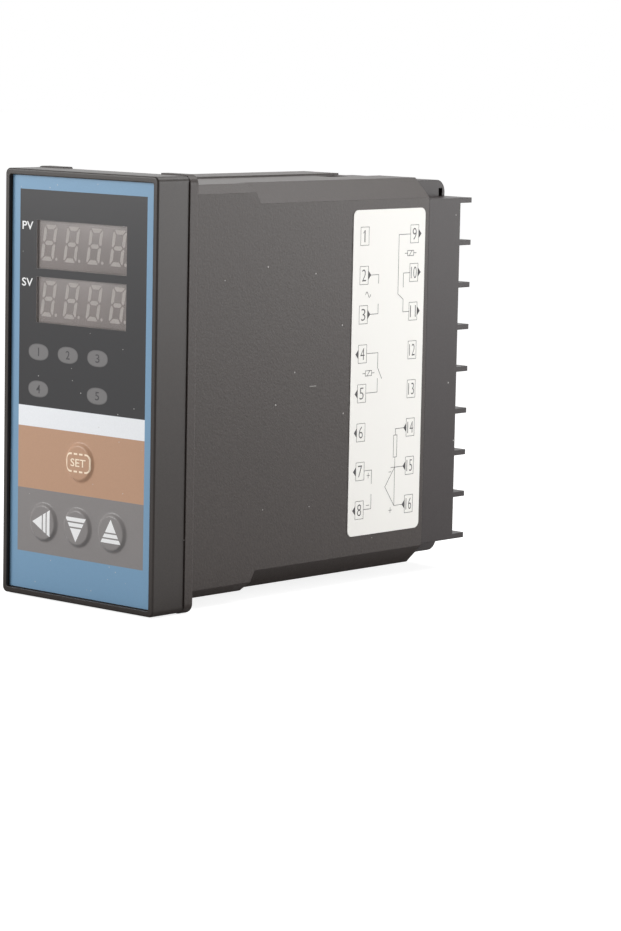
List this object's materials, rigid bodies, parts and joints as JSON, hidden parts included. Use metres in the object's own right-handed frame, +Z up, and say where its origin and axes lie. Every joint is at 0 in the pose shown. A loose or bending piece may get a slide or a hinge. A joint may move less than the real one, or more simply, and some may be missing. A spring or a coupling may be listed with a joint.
{
  "type": "pid temperature controller",
  "caption": "Panel-mounted temperature controller: tall front with two digital displays and domed keys, deep case, rear screw terminals between barrier fins.",
  "frame": {"origin": "on the surface the controller stands on, under the middle of its bounding box", "axes": "+Z up the front, -Y out of the front face, +X to the right seen from the front; the wiring label is on the +X side"},
  "size_m": [0.0486, 0.1084, 0.0966],
  "materials": {
    "case_plastic": "fine moulded grain",
    "block_plastic": "smooth matt",
    "bezel_plastic": "fine moulded grain",
    "printed_film": "printed satin film",
    "label_sheet": "satin",
    "plated_brass": "tinned",
    "plated_steel": "zinc plated",
    "board_laminate": "lacquered",
    "black_moulding": "matt",
    "white_moulding": "matt",
    "display_resin": "satin face",
    "led_resin": "diffuse",
    "stem_plastic": "matt",
    "core_steel": "varnished sheet stack",
    "coil_tape": "polyester tape",
    "relay_plastic": "satin",
    "can_sleeve": "shrink sleeve",
    "capacitor_case": "satin",
    "can_metal": "bright"
  },
  "bodies": {
    "case": {"outer_case": "case_plastic", "terminal_block": "block_plastic", "terminal_contacts": "plated_brass", "clamp_washers": "plated_steel", "terminal_screws": "plated_steel", "wiring_label": "label_sheet"},
    "chassis": {"front_bezel": "bezel_plastic", "front_film": "printed_film", "display_board": "board_laminate", "display_board_screws": "plated_steel", "power_board": "board_laminate", "control_board": "board_laminate", "board_connectors": "black_moulding", "board_spacer": "white_moulding", "upper_display": "display_resin", "lower_display": "display_resin", "indicator_leds": "led_resin", "tact_switch_bodies": "black_moulding", "transformer_core": "core_steel", "transformer_coil": "coil_tape", "output_relay": "relay_plastic", "alarm_relays": "relay_plastic", "electrolytic_capacitors": "can_sleeve", "filter_capacitor": "capacitor_case", "voltage_regulator": "black_moulding", "microcontroller": "black_moulding", "amplifier_chips": "black_moulding", "memory_chip": "black_moulding", "crystal": "can_metal", "display_driver": "black_moulding"},
    "set_button": {"set_key": "stem_plastic"},
    "shift_button": {"shift_key": "stem_plastic"},
    "down_button": {"down_key": "stem_plastic"},
    "up_button": {"up_key": "stem_plastic"}
  },
  "joints": [
    {"name": "chassis_draw_out", "type": "slide", "parent": "case", "child": "chassis", "axis": [0, -1, 0], "range_m": [0, 0.095]},
    {"name": "set_press", "type": "slide", "parent": "chassis", "child": "set_button", "axis": [0, 1, 0], "range_m": [0, 0.00025], "stiffness_N_per_m": 6400},
    {"name": "shift_press", "type": "slide", "parent": "chassis", "child": "shift_button", "axis": [0, 1, 0], "range_m": [0, 0.00025], "stiffness_N_per_m": 6400},
    {"name": "down_press", "type": "slide", "parent": "chassis", "child": "down_button", "axis": [0, 1, 0], "range_m": [0, 0.00025], "stiffness_N_per_m": 6400},
    {"name": "up_press", "type": "slide", "parent": "chassis", "child": "up_button", "axis": [0, 1, 0], "range_m": [0, 0.00025], "stiffness_N_per_m": 6400}
  ]
}
